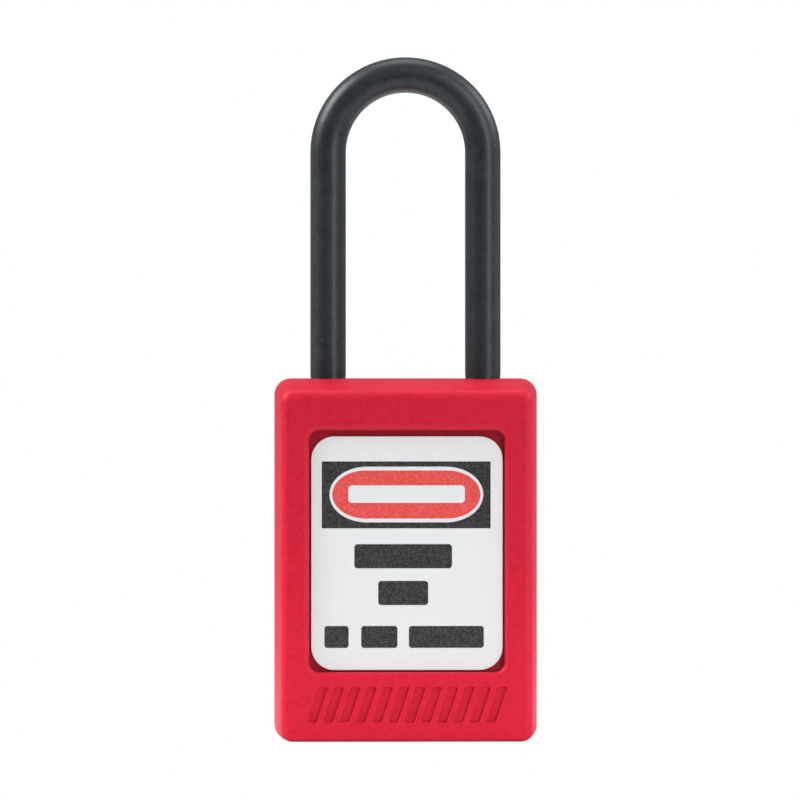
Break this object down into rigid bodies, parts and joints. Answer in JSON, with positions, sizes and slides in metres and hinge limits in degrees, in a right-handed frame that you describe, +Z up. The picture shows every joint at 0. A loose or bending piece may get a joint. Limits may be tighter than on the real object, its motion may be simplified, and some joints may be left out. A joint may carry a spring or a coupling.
{
  "type": "safety lockout padlock",
  "caption": "Compact lockout padlock: red moulded case with labels in front and back recesses, and a tall slim black plastic shackle that a keyed cylinder frees.",
  "frame": {"origin": "centre of the case's bottom face, where the padlock stands", "axes": "+Z up along the shackle, -Y towards the front label, +X to the right seen from the front, on the toe leg's side"},
  "size_m": [0.035, 0.02, 0.0909],
  "materials": {
    "case_plastic": "moulded red thermoplastic, soft satin sheen with a very fine texture",
    "cover_plastic": "moulded red thermoplastic, as the case",
    "front_label": "white write-on film with a printed dark header, a red oval and plain bars",
    "back_label": "white write-on film with a printed dark header and ruled lines",
    "nylon": "glass-filled nylon, satin, faint light specks",
    "carrier_plastic": "dark acetal, satin",
    "lever_steel": "plated sintered steel, fine grain",
    "spring_steel": "drawn spring wire and strip",
    "screw_steel": "zinc-plated steel",
    "cam_brass": "turned brass, satin",
    "plug_brass": "turned brass, fine turning marks",
    "pin_brass": "turned brass",
    "pin_steel": "turned steel",
    "zinc": "zinc die casting, as cast"
  },
  "bodies": {
    "lock_body": {"body_shell": "case_plastic", "bottom_cover": "cover_plastic", "front_label": "front_label", "back_label": "back_label", "shackle_spring": "spring_steel", "lever_carrier": "carrier_plastic", "lever_spring": "spring_steel", "cylinder_housing": "zinc", "spring_cover": "spring_steel", "retaining_screw": "screw_steel", "pin_spring_1": "spring_steel", "pin_spring_2": "spring_steel", "pin_spring_3": "spring_steel", "pin_spring_4": "spring_steel", "pin_spring_5": "spring_steel", "pin_spring_6": "spring_steel"},
    "plug": {"key_plug": "plug_brass", "plug_clip": "spring_steel", "actuator_cam": "cam_brass"},
    "lever_left": {"locking_lever_left": "lever_steel"},
    "lever_right": {"locking_lever_right": "lever_steel"},
    "shackle_body": {"shackle": "nylon", "shackle_clip": "spring_steel"},
    "key_pin_1_body": {"key_pin_1": "pin_brass"},
    "driver_pin_1_body": {"driver_pin_1": "pin_steel"},
    "key_pin_2_body": {"key_pin_2": "pin_brass"},
    "driver_pin_2_body": {"driver_pin_2": "pin_steel"},
    "key_pin_3_body": {"key_pin_3": "pin_brass"},
    "driver_pin_3_body": {"driver_pin_3": "pin_steel"},
    "key_pin_4_body": {"key_pin_4": "pin_brass"},
    "driver_pin_4_body": {"driver_pin_4": "pin_steel"},
    "key_pin_5_body": {"key_pin_5": "pin_brass"},
    "driver_pin_5_body": {"driver_pin_5": "pin_steel"},
    "key_pin_6_body": {"key_pin_6": "pin_brass"},
    "driver_pin_6_body": {"driver_pin_6": "pin_steel"}
  },
  "joints": [
    {"name": "plug_turn", "type": "hinge", "parent": "lock_body", "child": "plug", "pos_m": [0, -0.0015, 0], "axis": [0, 0, 1], "range_deg": [0, 90]},
    {"name": "lever_left_slide", "type": "slide", "parent": "lock_body", "child": "lever_left", "axis": [1, 0, 0], "range_m": [0, 0.00283], "deforming": ["lever_spring"]},
    {"name": "lever_right_slide", "type": "slide", "parent": "lock_body", "child": "lever_right", "axis": [-1, 0, 0], "range_m": [0, 0.00283]},
    {"name": "shackle_lift", "type": "slide", "parent": "lock_body", "child": "shackle_body", "axis": [0, 0, 1], "range_m": [0, 0.0106], "deforming": ["shackle_spring"]},
    {"name": "key_pin_1_slide", "type": "slide", "parent": "plug", "child": "key_pin_1_body", "axis": [0, 1, 0], "range_m": [-0.00135, 0]},
    {"name": "driver_pin_1_slide", "type": "slide", "parent": "lock_body", "child": "driver_pin_1_body", "axis": [0, 1, 0], "range_m": [-0.00135, 0], "deforming": ["pin_spring_1"]},
    {"name": "key_pin_2_slide", "type": "slide", "parent": "plug", "child": "key_pin_2_body", "axis": [0, 1, 0], "range_m": [-0.00045, 0]},
    {"name": "driver_pin_2_slide", "type": "slide", "parent": "lock_body", "child": "driver_pin_2_body", "axis": [0, 1, 0], "range_m": [-0.00045, 0], "deforming": ["pin_spring_2"]},
    {"name": "key_pin_3_slide", "type": "slide", "parent": "plug", "child": "key_pin_3_body", "axis": [0, 1, 0], "range_m": [-0.0018, 0]},
    {"name": "driver_pin_3_slide", "type": "slide", "parent": "lock_body", "child": "driver_pin_3_body", "axis": [0, 1, 0], "range_m": [-0.0018, 0], "deforming": ["pin_spring_3"]},
    {"name": "key_pin_4_slide", "type": "slide", "parent": "plug", "child": "key_pin_4_body", "axis": [0, 1, 0], "range_m": [-0.0009, 0]},
    {"name": "driver_pin_4_slide", "type": "slide", "parent": "lock_body", "child": "driver_pin_4_body", "axis": [0, 1, 0], "range_m": [-0.0009, 0], "deforming": ["pin_spring_4"]},
    {"name": "key_pin_5_slide", "type": "slide", "parent": "plug", "child": "key_pin_5_body", "axis": [0, 1, 0], "range_m": [-0.00135, 0]},
    {"name": "driver_pin_5_slide", "type": "slide", "parent": "lock_body", "child": "driver_pin_5_body", "axis": [0, 1, 0], "range_m": [-0.00135, 0], "deforming": ["pin_spring_5"]},
    {"name": "key_pin_6_slide", "type": "slide", "parent": "plug", "child": "key_pin_6_body", "axis": [0, 1, 0], "range_m": [-0.0018, 0]},
    {"name": "driver_pin_6_slide", "type": "slide", "parent": "lock_body", "child": "driver_pin_6_body", "axis": [0, 1, 0], "range_m": [-0.0018, 0], "deforming": ["pin_spring_6"]}
  ],
  "couplings": [
    {"joint": "plug_turn", "follows": "shackle_lift", "rad_per_m": 148.19},
    {"joint": "lever_left_slide", "follows": "shackle_lift", "ratio": 0.26683},
    {"joint": "lever_right_slide", "follows": "shackle_lift", "ratio": 0.26683},
    {"joint": "driver_pin_1_slide", "follows": "key_pin_1_slide", "ratio": 1},
    {"joint": "driver_pin_2_slide", "follows": "key_pin_2_slide", "ratio": 1},
    {"joint": "driver_pin_3_slide", "follows": "key_pin_3_slide", "ratio": 1},
    {"joint": "driver_pin_4_slide", "follows": "key_pin_4_slide", "ratio": 1},
    {"joint": "driver_pin_5_slide", "follows": "key_pin_5_slide", "ratio": 1},
    {"joint": "driver_pin_6_slide", "follows": "key_pin_6_slide", "ratio": 1}
  ]
}
